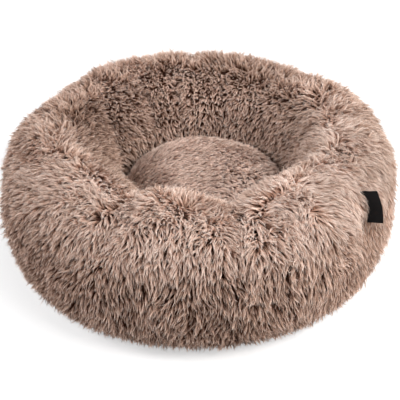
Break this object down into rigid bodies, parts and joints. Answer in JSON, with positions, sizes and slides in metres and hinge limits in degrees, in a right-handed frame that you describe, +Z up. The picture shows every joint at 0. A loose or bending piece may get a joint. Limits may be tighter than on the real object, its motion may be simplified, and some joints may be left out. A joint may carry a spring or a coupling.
{
  "type": "donut pet bed",
  "caption": "Round stuffed faux-fur bed: a thick soft ring with a loose crowned cushion in its well, a zip in its grip-dotted underside and a bare side label.",
  "frame": {"origin": "on the floor at the middle of the bed's footprint, under the axis of the ring", "axes": "+Z up; -Y towards the front, where the picture is taken from; +X to the viewer's right, towards the side label"},
  "size_m": [0.6004, 0.6001, 0.2187],
  "materials": {
    "rim_fur": "long shaggy faux fur, matte",
    "cushion_fur": "shorter combed faux fur, matte",
    "lining_cloth": "plain weave, matte",
    "liner_cloth": "non-woven, matte",
    "fibre": "polyester fibre fill, matte",
    "oxford_cloth": "coarse coated weave with moulded grip dots, matte",
    "binding_tape": "woven tape, matte",
    "label_ribbon": "bare black satin ribbon, low sheen",
    "zip_tape": "knitted tape, matte",
    "zip_teeth": "moulded nylon, satin",
    "zip_metal": "painted zinc, satin"
  },
  "bodies": {
    "ring": {"rim_cover_front": "rim_fur", "rim_cover_back": "rim_fur", "rim_liner_top": "liner_cloth", "rim_liner_floor": "liner_cloth", "rim_filling": "fibre", "side_label": "label_ribbon", "base_cloth": "oxford_cloth", "base_binding": "binding_tape", "base_wadding": "fibre", "well_lining": "lining_cloth", "zip_tape_outer": "zip_tape", "zip_tape_inner": "zip_tape", "zip_teeth_outer": "zip_teeth", "zip_teeth_inner": "zip_teeth", "zip_closed_stop": "zip_metal", "zip_open_stop": "zip_metal"},
    "slider": {"zip_slider": "zip_metal"},
    "pull": {"zip_pull": "zip_metal"},
    "cushion": {"cushion_cover_top": "cushion_fur", "cushion_cover_base": "lining_cloth", "cushion_filling": "fibre"}
  },
  "joints": [
    {"name": "cushion_lift", "type": "slide", "parent": "ring", "child": "cushion", "axis": [0, 0, 1], "range_m": [0, 0.25]},
    {"name": "zip_run", "type": "hinge", "parent": "ring", "child": "slider", "pos_m": [0, 0, 0.0073], "axis": [0, 0, 1], "range_deg": [0, 82.5]},
    {"name": "pull_swing", "type": "hinge", "parent": "slider", "child": "pull", "pos_m": [0.13712, 0.1456, 0.0034], "axis": [-0.6856, -0.728, 0], "range_deg": [0, 120]}
  ]
}
